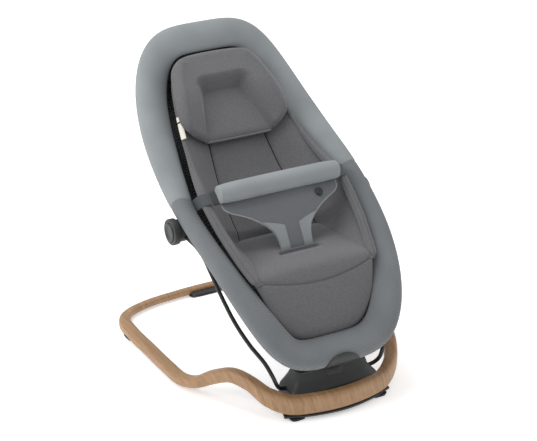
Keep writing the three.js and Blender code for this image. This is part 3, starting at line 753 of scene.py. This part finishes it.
# ---------- the spring rod and the hubs ----------
def rod_path():
    """From hub to hub: straight through the carrier, a tight bend up, then a long lean back to each hub."""
    end = np.array([194 * MM, HUB[1] - 18 * MM, HUB[2] - 7 * MM])
    y, z = PIVOT[1] / MM, PIVOT[2] / MM
    side = [(40, y, z), (80, y, z), (98, y, z), (107, y - 2, z + 4), (115, y - 6, z + 15), (123, y - 3, 82),
            (131, y + 12, 104), (145, y + 44, 131), (157, y + 78, 164), (167, y + 109, 204), (176, y + 136, 246),
            (182, y + 158, 276)]
    straight = [end - np.array([0.19, 0.94, 0.29]) * d * MM for d in (30, 15, 0)]
    half = np.vstack([np.array(side) * MM, straight])
    return curve_through(np.vstack([mirror_x(half[::-1]), half]), 500)


class BOUNCER_OT_spring_rod(bpy.types.Operator):
    """Builds the bent spring rod"""
    bl_idname = "bouncer.spring_rod"
    bl_label = "Spring rod"

    def execute(self, context):
        rows = tube(rod_path(), sizes().rod_radius, 20, up=np.array([0.0, 0.35, 0.94]))
        make_piece("spring_rod_bar", rows, "black_steel", ["spring_rod"], "spring_stand")
        return {"FINISHED"}


class BOUNCER_OT_hubs(bpy.types.Operator):
    """Builds the two hubs on which the seat tilts, and their press buttons"""
    bl_idname = "bouncer.hubs"
    bl_label = "Hubs"

    def execute(self, context):
        for sign, side in SIDES:
            inner, outer = sorted(abs(corner.x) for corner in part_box(f"hub_case_{side}"))
            face, floor, back = outer + 2.5 * MM, outer - 10.6 * MM, outer - 5.5 * MM
            case = [(0, inner)] + rounded_corner(2 * MM, (23.8 * MM, inner + 2 * MM), -90, 0)
            case += rounded_corner(2.4 * MM, (23.4 * MM, outer - 2.4 * MM), 0, 90)
            case += [(19.6 * MM, outer), (19.6 * MM, floor), (0, floor)]
            button = [(0, back), (19 * MM, back)] + rounded_corner(2.5 * MM, (16.5 * MM, face - 2.5 * MM), 0, 90)
            button += [(13 * MM, face), (12.4 * MM, face - 0.5 * MM), (0, face - 0.5 * MM)]
            drum = [(0, 183.4 * MM)] + rounded_corner(1.5 * MM, (20.5 * MM, 184.9 * MM), -90, 0)
            drum += rounded_corner(1.5 * MM, (20.5 * MM, 203.3 * MM), 0, 90) + [(0, 204.8 * MM)]
            for name, profile, node, body in (("hub_housing", case, "hub_case", "seat"),
                                              ("hub_press_button", button, "hub_button", f"button_{side}"),
                                              ("rod_end_drum", drum, "rod_eye", "spring_stand")):
                make_piece(f"{name}_{side}", turned(profile, sign), "dark_plastic", [f"{node}_{side}"], body,
                           crease=40)
            make_piece(f"seat_socket_{side}", bracket_points(sign), "dark_plastic", [f"seat_bracket_{side}"],
                       crease=50)
        return {"FINISHED"}


def bracket_points(sign):
    """A rounded block under the rim that holds the hub's axle, in the seat's directions."""
    unit = superellipse(1, 1, 48, 5)
    rows = []
    for x in np.linspace(150.5, 175.5, 10):
        grow = 1 - 0.12 * ((175.5 - x) / 25) ** 2
        rows.append(on_seat(sign * x * MM, HUB_S + unit[:, 0] * 26.5 * MM * grow,
                            HUB_N - 4.5 * MM + unit[:, 1] * 7.2 * MM))
    return capped(np.array(rows), 1.5 * MM)


# ---------- the seat's shell ----------
class BOUNCER_OT_rim_covers(bpy.types.Operator):
    """Builds the light and dark padded covers of the rim, and the hem along their inner edge"""
    bl_idname = "bouncer.rim_covers"
    bl_label = "Rim covers"

    def execute(self, context):
        rim_cover("rim_cover_head", True, sizes().rim_swell, "light_knit", "upper_sleeve")
        rim_cover("rim_cover_foot", False, 0.0, "ribbed_knit", "lower_sleeve")
        # The hem cord is near-black: painted shade along the join where the cover's edge meets the mesh.
        path = on_seat(*cover_hem(0.5 * MM, 0)[:-1].T)
        hem = tube(path, 1.7 * MM, 10, SEAT_UP, closed=True)
        make_piece("rim_cover_hem", hem, "ribbed_knit", finish="thread")
        return {"FINISHED"}


# The tub is cut as an egg of 360 by 740 mm, which fills about four fifths of that rectangle.
TUB_DEPTH, TUB_THICK = 30 * MM, 2 * MM
# Each side strap is cut 25 mm wide and 72 mm long between the panel and the rim.
ROLL_FLATNESS = 0.62  # height over width of the liner's rolled edge


class BOUNCER_OT_mesh_tub(bpy.types.Operator):
    """Builds the mesh tub that carries the pads"""
    bl_idname = "bouncer.mesh_tub"
    bl_label = "Mesh tub"

    def execute(self, context):
        outer = cover_hem(3 * MM, 1.5 * MM, 360)
        centre = np.array([0.0, SEAT_LENGTH / 2])
        share = np.sin(np.linspace(0, np.pi / 2, 90))[:, None, None]
        flat = centre + share * (outer[None, :, :2] - centre)
        floor = pad_line(flat[..., 1]) - TUB_DEPTH
        steep = 9 + 21 * blend_in(flat[..., 1], 540 * MM, 640 * MM)
        height = floor + (outer[None, :, 2] - floor) * share[..., 0] ** steep
        top = on_seat(flat[..., 0], flat[..., 1], height)
        under = on_seat(flat[..., 0], flat[..., 1], height - TUB_THICK)
        piece = make_piece("mesh_tub", np.concatenate([top, under[::-1]]), "air_mesh", ["sling"])
        return {"FINISHED"}


class BOUNCER_OT_liner(bpy.types.Operator):
    """Builds the padded liner: the back in three panels, and the wings that wrap forward beside the seat"""
    bl_idname = "bouncer.liner"
    bl_label = "Liner"

    def execute(self, context):
        slab("liner_cushion", 150 * MM, 664 * MM, liner_half, liner_top, lambda x, s: liner_top(x, s) - 9 * MM,
             "pad_cloth", ["back_pad", "side_wing_left", "side_wing_right"], 260, 200, 4.0)
        s = np.linspace(152 * MM, 640 * MM, 260)
        lower = np.linspace(270 * MM, 600 * MM, 160)
        for sign, side in SIDES:
            # Half the rolled edge's width: full beside the hips, thin along the back, drawn in at both ends.
            wide = np.interp(s, [380 * MM, 480 * MM], [10 * MM, 4.5 * MM])
            ends = np.minimum(1, np.minimum(s - s[0], s[-1] - s) / (14 * MM))
            wide = wide * np.sqrt(np.clip(1 - (1 - ends) ** 2, 0.04, 1))
            height = liner_edge(s) - 0.3 * wide
            centre = on_seat(sign * (liner_half(s) - 0.55 * wide), s, height)
            profiles = superellipse(1.0, ROLL_FLATNESS, 26, 2)[None] * wide[:, None, None]
            make_piece("edge_roll_" + side, capped(sweep(centre, profiles, SEAT_UP), 0.5 * MM), "pad_cloth")
            for name, across in (("edge_seam_outer_", 0.25), ("edge_seam_inner_", -0.6)):
                x = sign * (liner_half(s) - (0.55 - across) * wide)
                high = ROLL_FLATNESS * wide * math.sqrt(1 - across**2)
                path = on_seat(x, s, height + high - 0.35 * MM)
                make_piece(name + side, tube(path, 0.6 * MM, 8, SEAT_UP), "pad_cloth", finish="binding")
            # The seam cord is near-black: painted shade in the groove between the liner's panels.
            x = sign * liner_seam(lower)
            seam = on_seat(x, lower, liner_top(x, lower) + 0.6 * MM)
            make_piece("liner_seam_" + side, tube(seam, 1.1 * MM, 10, SEAT_UP), "pad_cloth", finish="thread")
        return {"FINISHED"}


class BOUNCER_OT_seat_pad(bpy.types.Operator):
    """Builds the seat pad with its front roll and flap"""
    bl_idname = "bouncer.seat_pad"
    bl_label = "Seat pad"

    def execute(self, context):
        slab("seat_cushion", 42 * MM, 282 * MM, seat_half, seat_top, lambda x, s: pad_line(s) - 24 * MM,
             "pad_cloth", ["seat_pad"], 260, 180, 15.0)
        return {"FINISHED"}


class BOUNCER_OT_head_pillow(bpy.types.Operator):
    """Builds the head pillow: a roll round a hollow for the head"""
    bl_idname = "bouncer.head_pillow"
    bl_label = "Head pillow"

    def execute(self, context):
        slab("head_pillow", 490 * MM, 683 * MM, pillow_half, pillow_top, pillow_under, "pad_cloth", ["headrest"],
             200, 200, 17.0)
        x = np.linspace(-70 * MM, 70 * MM, 60)
        low = np.full(60, 491 * MM)
        path = on_seat(x, low, (pillow_top(x, low) + pillow_under(x, low)) / 2 + 3 * MM)
        make_piece("pillow_hem", tube(path, 2.2 * MM, 14, SEAT_UP), "pad_cloth")
        return {"FINISHED"}


# ---------- the harness ----------
ROLL = middle("tummy_roll")
ROLL_HALF = 128 * MM
# Half the panel's width and how far it stands over the seat's plane, by s, in millimetres.
PANEL_HALF = np.array([(212, 33), (232, 34), (245, 36), (258, 41), (270, 51), (281, 64), (291, 78), (301, 97),
                       (310, 116), (320, 125), (331, 126)]) * MM
PANEL_RISE = np.array([(212, 12), (224, 21), (238, 26), (254, 31), (276, 37), (296, 42),
                       (312, 45), (331, 44)]) * MM


def panel_half(s):
    return smooth_between(s, *PANEL_HALF.T)


def panel_rise(x, s):
    """The panel's height: bowed down to its sides, with a slight ripple across its upper part."""
    rise = smooth_between(s, *PANEL_RISE.T) - 7 * MM * (np.abs(x) / (126 * MM)) ** 2
    return rise + 1.2 * MM * np.sin(x * 38) * blend_in(s, 250 * MM, 300 * MM)


class BOUNCER_OT_tummy_roll(bpy.types.Operator):
    """Builds the padded roll across the tummy"""
    bl_idname = "bouncer.tummy_roll"
    bl_label = "Tummy roll"

    def execute(self, context):
        t = np.linspace(-1, 1, 160)
        x = t * ROLL_HALF
        path = np.stack([x, np.full_like(x, ROLL[1]), np.full_like(x, ROLL[2])], -1)
        path[:, 2] += 0.8 * MM * np.cos(t * np.pi / 2)
        unit = superellipse(1, 1, 72, 2.3)
        squeeze = 1 - 0.1 * np.abs(t) ** 8
        folds = 1 + 0.012 * np.sin(x[:, None] * 90 + unit[None, :, 0] * 3) * (np.abs(t) ** 2)[:, None]
        radii = np.stack([18.2 * MM * squeeze, 19.0 * MM * squeeze], -1)
        rows = capped(sweep(path, unit[None] * radii[:, None] * folds[..., None]), 3.5 * MM)
        make_piece("tummy_roll_pad", rows, "light_knit", ["tummy_roll"])
        return {"FINISHED"}


class BOUNCER_OT_harness_panel(bpy.types.Operator):
    """Builds the panel under the roll, its piping, and the strap between the legs"""
    bl_idname = "bouncer.harness_panel"
    bl_label = "Harness panel"

    def execute(self, context):
        slab("harness_panel", 212 * MM, 334 * MM, panel_half, panel_rise, lambda x, s: panel_rise(x, s) - 4 * MM,
             "ribbed_knit", ["restraint_panel"], 150, 120, 1.8, finish="panel_cloth")
        s = np.linspace(264 * MM, 331 * MM, 90)
        a, b = np.meshgrid(np.linspace(0, 1, 14), np.linspace(0, 1, 60))
        for sign, side in SIDES:
            x = sign * (panel_half(s) + 0.3 * MM)
            path = on_seat(x, s, panel_rise(x, s) - 1.2 * MM)
            make_piece("panel_piping_" + side, tube(path, 1.3 * MM, 12, SEAT_UP), "light_knit", finish="piping")
            down = (264 + 14 * a) * MM * (1 - b) + 211 * MM * b
            across = 15.5 * MM + a * (panel_half(down) + 0.6 * MM - 15.5 * MM)
            rise = panel_rise(across, down)
            face = on_seat(sign * across, down, rise + 1.0 * MM)
            back = on_seat(sign * across, down, rise - 5 * MM)
            flank = capped(np.concatenate([face, back[:, ::-1], face[:, :1]], 1))
            replaced = ["crotch_strap"] if sign < 0 else ()
            edge = make_piece("crotch_strap_edge_" + side, flank, "light_knit", replaced, crease=40)
        return {"FINISHED"}


class BOUNCER_OT_straps(bpy.types.Operator):
    """Builds the side straps and their buckles"""
    bl_idname = "bouncer.straps"
    bl_label = "Side straps"

    def execute(self, context):
        knots = np.array([(126, 348, 44), (133, 349, 40), (142, 350, 36), (151, 351, 33.5), (157.5, 352, 29.5),
                          (161.5, 353, 20), (163, 354, 8), (162.5, 356, -5)]) * MM
        line = curve_through(knots, 60)
        ribbon = superellipse(sizes().strap_width / 2, 0.9 * MM, 32, 6)
        for sign, side in SIDES:
            path = on_seat(sign * line[:, 0], line[:, 1], line[:, 2])
            rows = capped(sweep(path, ribbon[:, ::-1], up=SEAT_ALONG), 0.3 * MM)
            piece = make_piece("side_strap_web_" + side, rows, "webbing", ["side_strap_" + side], crease=40)
            make_piece("strap_buckle_" + side, buckle_points(path, 7), "dark_plastic", ["buckle_" + side],
                       crease=40)
        return {"FINISHED"}


def buckle_points(path, at):
    """A flat rounded slide on the strap, as wide as the strap and a little more."""
    start = path[at]
    along = path[at + 6] - start
    along /= np.linalg.norm(along)
    out = np.cross(along, SEAT_ALONG)
    line = start + np.linspace(-5, 7, 12)[:, None] * MM * along
    unit = superellipse(16 * MM, 3.4 * MM, 48, 5)
    rows = line[:, None] + unit[None, :, :1] * SEAT_ALONG + unit[None, :, 1:] * out
    return capped(rows, 1.5 * MM)


# ---------- trim ----------
class BOUNCER_OT_trim(bpy.types.Operator):
    """Builds the badge plate, the front bracket, the snap stud and the sewn labels"""
    bl_idname = "bouncer.trim"
    bl_label = "Trim"

    def execute(self, context):
        make_piece("badge_plate", badge_points(), "dark_plastic", ["front_badge"], crease=50)
        make_piece("front_neck", neck_points(), "dark_plastic", ["front_bracket"], crease=50)
        make_piece("snap_stud", stud_points(), "dark_plastic", ["panel_stud"], crease=30)
        make_piece("sewn_label_long", label_points(521, 36), "label_cloth", ["care_label"], crease=40)
        make_piece("sewn_label_short", label_points(548, 11), "label_cloth", crease=40)
        return {"FINISHED"}


BADGE_RADIUS = 22 * MM


def badge_points():
    """A half-moon plate wrapped on the front of the rim: straight along its lower edge, arched above."""
    t = np.linspace(-1, 1, 80)
    x = t * 39 * MM
    top = -18 + 88 * np.sqrt(np.clip(1 - t**2, 0, 1)) ** 1.1
    face = np.stack([arc_on_rim(x, -50 + (top + 50) * k) for k in np.linspace(0, 1, 24)])
    back = face * np.array([1, 0.9, 0.9])
    ring = np.concatenate([face, back[::-1], face[:1]])
    return capped(np.swapaxes(on_seat(ring[..., 0], -ring[..., 1], ring[..., 2]), 0, 1))


def arc_on_rim(x, degrees):
    """Points on the rim's round front at an angle over straight ahead."""
    angle = np.radians(degrees)
    return np.stack([x, BADGE_RADIUS * np.cos(angle), BADGE_RADIUS * np.sin(angle)], -1)


def neck_points():
    """The bracket between the rim's front and the pedestal, widening upwards, with rounded corners."""
    rows = []
    for y, z, deep, half in ((-238, 89.5, 14, 71), (-236, 93, 16, 72), (-233, 100, 18, 76), (-229, 110, 19, 82),
                             (-226, 120, 18, 86)):
        unit = superellipse(half * MM, deep * MM, 80, 5)
        rows.append(np.stack([unit[:, 0], unit[:, 1] + y * MM + CENTRING, np.full(81, z * MM)], -1))
    return capped(np.array(rows), 2 * MM)


def stud_points():
    """A round snap with a raised rim and a dished middle."""
    radius = np.array([0, 5.2, 6.0, 7.0, 8.0, 8.4, 8.4, 0]) * MM
    height = np.array([1.6, 1.6, 2.4, 2.7, 2.3, 1.2, -2, -2]) * MM
    angle = np.linspace(0, 2 * np.pi, 49)
    x = 78 * MM + radius[:, None] * np.cos(angle)
    s = 312 * MM + radius[:, None] * np.sin(angle)
    return on_seat(x, s, panel_rise(78 * MM, 312 * MM) + height[:, None] + 0.5 * MM)


def label_points(s_mm, high_mm):
    """A folded tape sewn into the liner's left edge."""
    unit = superellipse(0.7 * MM, high_mm * MM / 2, 40, 8)
    rows = []
    for t in np.linspace(0, 1, 10):
        s = s_mm * MM + unit[:, 1]
        x = -liner_half(s) - (3 - 9 * t) * MM + unit[:, 0] * 0.1
        rows.append(on_seat(x, s, liner_edge(s) + (1 + 4 * math.sin(t * math.pi * 0.6)) * MM + unit[:, 0]))
    return capped(np.array(rows), 0.2 * MM)


class BOUNCER_OT_frame_finishes(bpy.types.Operator):
    """Gives the frame's own hard parts their finishes"""
    bl_idname = "bouncer.frame_finishes"
    bl_label = "Frame finishes"

    def execute(self, context):
        slots = {row["node"]: row["material_slot"] for row in frame["record"]["subparts"]}
        for name, piece in frame["nodes"].items():
            if not piece.hide_render:
                for place in piece.material_slots:
                    place.material = material(slots[name])
        return {"FINISHED"}


# ---------- stage ----------
CAMERA_PLACE = (-1.53285, -2.73867 + 0.0026, 1.71888)
CAMERA_TURN = (-29.26, 24.61)
LENS_MM = 117.5


SENSOR_MM = 36.0
FLOOR_REACH = 30.0
AIM = Vector((0, 0, 0.3))
# Each softbox's name, place, size and power.
SOFTBOXES = (("left", (-3.0, 0.3, 2.2), 2.2, 46), ("right", (3.0, -0.6, 1.8), 2.2, 17),
             ("top", (-0.5, 1.2, 3.6), 2.4, 62))


def add_light(name, place, size, power):
    light = bpy.data.lights.new(name + " softbox", "AREA")
    light.shape, light.size, light.energy = "DISK", size, power
    lamp = bpy.data.objects.new(light.name, light)
    bpy.context.scene.collection.objects.link(lamp)
    lamp.location = place
    lamp.rotation_euler = (AIM - Vector(place)).to_track_quat("-Z", "Y").to_euler()


class BOUNCER_OT_stage(bpy.types.Operator):
    """Builds the floor, the soft lights and the camera"""
    bl_idname = "bouncer.stage"
    bl_label = "Stage"

    def execute(self, context):
        scene = context.scene
        floor_mesh = bpy.data.meshes.new("floor")
        corners = [(x * FLOOR_REACH, y * FLOOR_REACH, 0) for x, y in ((-1, -1), (1, -1), (1, 1), (-1, 1))]
        floor_mesh.from_pydata(corners, [], [(0, 1, 2, 3)])
        floor = bpy.data.objects.new("floor", floor_mesh)
        scene.collection.objects.link(floor)
        # White paper, lit a little from within so that it stays white under the soft light.
        paper, _, principled, _ = start_material("white_paper", "#ffffff", 0.9)
        principled.inputs["Base Color"].default_value = (*sizes().floor_colour, 1.0)
        principled.inputs["Emission Color"].default_value = (1.0, 1.0, 1.0, 1.0)
        principled.inputs["Emission Strength"].default_value = 0.4
        floor_mesh.materials.append(paper)
        world = scene.world or bpy.data.worlds.new("studio")
        scene.world = world
        world.use_nodes = True
        sky = world.node_tree.nodes["Background"].inputs
        sky["Color"].default_value = (1, 1, 1, 1)
        sky["Strength"].default_value = 0.62
        for softbox in SOFTBOXES:
            add_light(*softbox)
        camera = bpy.data.objects.new("camera", bpy.data.cameras.new("camera"))
        scene.collection.objects.link(camera)
        camera.location = CAMERA_PLACE
        turn, lift = (math.radians(value) for value in CAMERA_TURN)
        forward = (-math.sin(turn) * math.cos(lift), math.cos(turn) * math.cos(lift), -math.sin(lift))
        camera.rotation_euler = Vector(forward).to_track_quat("-Z", "Y").to_euler()
        camera.data.lens, camera.data.sensor_width = LENS_MM, SENSOR_MM
        camera.data.clip_start, camera.data.clip_end = 0.1, 100
        scene.camera = camera
        scene.view_settings.view_transform = "Standard"
        return {"FINISHED"}


OPERATORS = [
    BOUNCER_OT_stage, BOUNCER_OT_wooden_loop, BOUNCER_OT_pedestal, BOUNCER_OT_spring_rod, BOUNCER_OT_hubs,
    BOUNCER_OT_rim_covers, BOUNCER_OT_mesh_tub, BOUNCER_OT_liner, BOUNCER_OT_seat_pad, BOUNCER_OT_head_pillow,
    BOUNCER_OT_tummy_roll, BOUNCER_OT_harness_panel, BOUNCER_OT_straps, BOUNCER_OT_trim, BOUNCER_OT_frame_finishes,
]


class BOUNCER_PT_pieces(bpy.types.Panel):
    bl_label = "Bouncer"
    bl_idname = "BOUNCER_PT_pieces"
    bl_space_type = "VIEW_3D"
    bl_region_type = "UI"
    bl_category = "Bouncer"

    def draw(self, context):
        column = self.layout.column()
        for name in BouncerSizes.__annotations__:
            column.prop(context.scene.bouncer_sizes, name)
        for operator in OPERATORS:
            column.operator(operator.bl_idname)


CLASSES = [BouncerSizes, *OPERATORS, BOUNCER_PT_pieces]


def register():
    for item in CLASSES:
        bpy.utils.register_class(item)
    bpy.types.Scene.bouncer_sizes = PointerProperty(type=BouncerSizes)


def unregister():
    del bpy.types.Scene.bouncer_sizes
    for item in reversed(CLASSES):
        bpy.utils.unregister_class(item)


def main():
    register()
    for operator in OPERATORS:
        group, name = operator.bl_idname.split(".")
        getattr(getattr(bpy.ops, group), name)()


if __name__ == "__main__":
    main()
